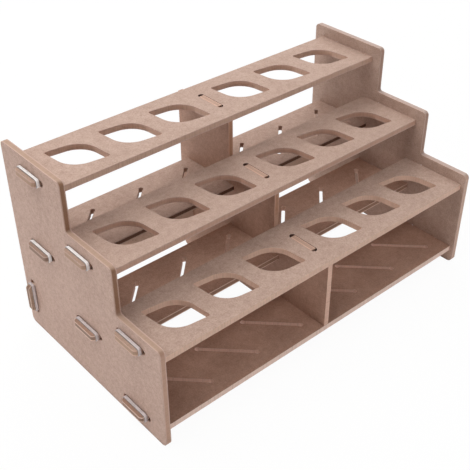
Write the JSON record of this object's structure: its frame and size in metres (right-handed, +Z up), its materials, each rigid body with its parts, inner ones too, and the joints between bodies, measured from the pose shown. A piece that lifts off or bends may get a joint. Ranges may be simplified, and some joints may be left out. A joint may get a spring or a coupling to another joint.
{
  "type": "hobby workstation organizer",
  "caption": "Three-tier stepped fibreboard rack with rows of leaf-shaped bottle holes over slitted support shelves, joined by through tabs held with elastic rings.",
  "frame": {"origin": "on the table, at the centre of the rack's footprint", "axes": "+X along the rack to the right, seen from its low front side; +Y from the front to the back; +Z up"},
  "size_m": [0.279, 0.15, 0.141],
  "materials": {
    "fibreboard": "raw medium-density fibreboard, matt, with browned cut edges",
    "ring": "pale elastic ring, satin"
  },
  "bodies": {
    "root": {"left_end_panel": "fibreboard", "right_end_panel": "fibreboard", "centre_divider": "fibreboard", "back_board": "fibreboard", "tier_1_hole_shelf": "fibreboard", "tier_2_hole_shelf": "fibreboard", "tier_3_hole_shelf": "fibreboard", "tier_1_support_shelf": "fibreboard", "tier_2_support_shelf": "fibreboard", "tier_3_support_shelf": "fibreboard", "left_ring_tier_1_hole_shelf": "ring", "left_ring_tier_1_support_shelf": "ring", "left_ring_tier_2_hole_shelf": "ring", "left_ring_tier_2_support_shelf": "ring", "left_ring_tier_3_hole_shelf": "ring", "left_ring_tier_3_support_shelf": "ring", "left_ring_back_board": "ring", "right_ring_tier_1_hole_shelf": "ring", "right_ring_tier_1_support_shelf": "ring", "right_ring_tier_2_hole_shelf": "ring", "right_ring_tier_2_support_shelf": "ring", "right_ring_tier_3_hole_shelf": "ring", "right_ring_tier_3_support_shelf": "ring", "right_ring_back_board": "ring"}
  },
  "joints": []
}
